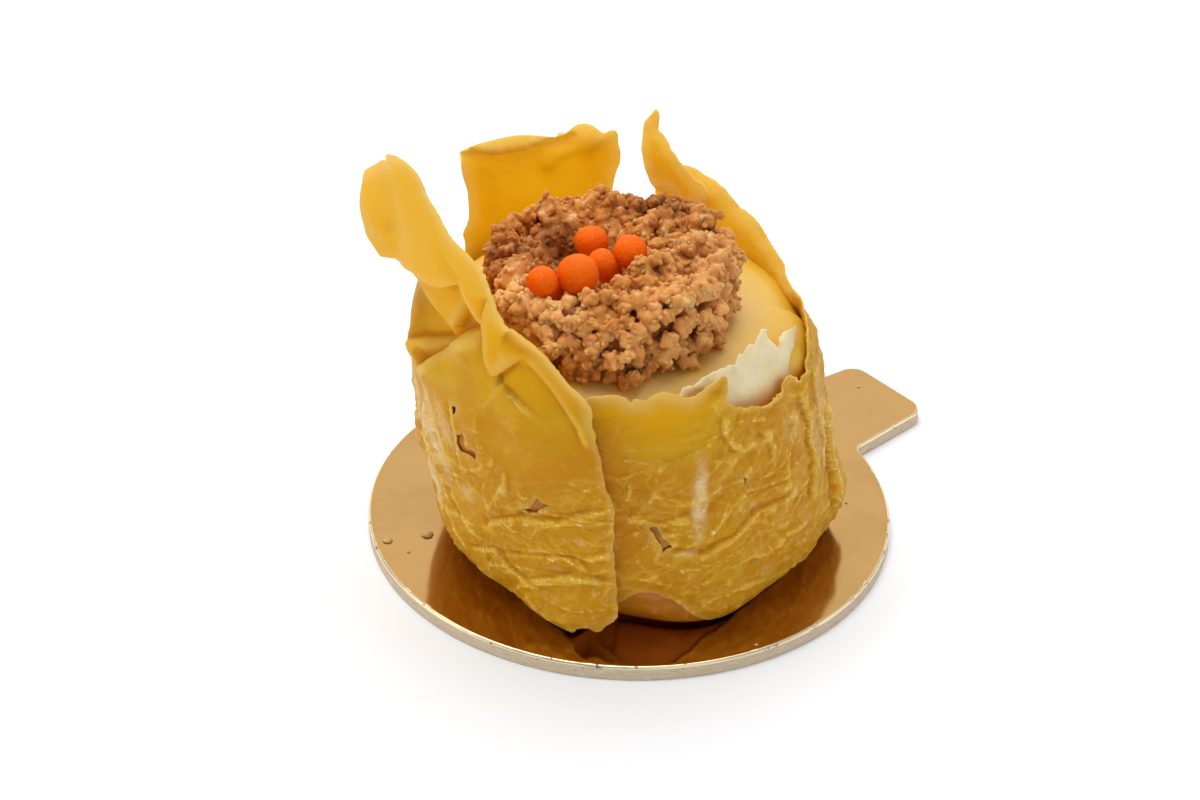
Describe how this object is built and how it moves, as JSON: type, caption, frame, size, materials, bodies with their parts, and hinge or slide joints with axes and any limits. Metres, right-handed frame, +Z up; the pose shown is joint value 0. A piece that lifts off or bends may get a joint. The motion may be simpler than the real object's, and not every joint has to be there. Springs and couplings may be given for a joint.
{
  "type": "siu mai dumpling",
  "caption": "Large open-topped siu mai: a yellow wrapper with tall torn petals round a pale core, minced filling and orange pearls on top, standing on a round gold card with a pull tab.",
  "frame": {"origin": "centre of the round card's underside", "axes": "+Z up, -Y towards the front where the wrapper's seam is, +X to the right of that view; the pull tab points to the back right"},
  "size_m": [0.0877, 0.081, 0.0698],
  "materials": {
    "gold_card": "glossy gold foil on board, cream edge",
    "pale_core": "smooth, moist, pale cream yellow",
    "white_coat": "thin white film, slightly moist",
    "yellow_wrapper": "thin crinkled yellow dough skin, satin",
    "minced_filling": "moist cooked mince, crumbly",
    "orange_pearl": "matte, finely bumpy"
  },
  "bodies": {
    "root": {"card": "gold_card", "core": "pale_core", "coat": "white_coat", "wrapper": "yellow_wrapper", "filling": "minced_filling", "pearl_1": "orange_pearl", "pearl_2": "orange_pearl", "pearl_3": "orange_pearl", "pearl_4": "orange_pearl", "pearl_5": "orange_pearl", "pearl_6": "orange_pearl", "pearl_7": "orange_pearl"}
  },
  "joints": []
}
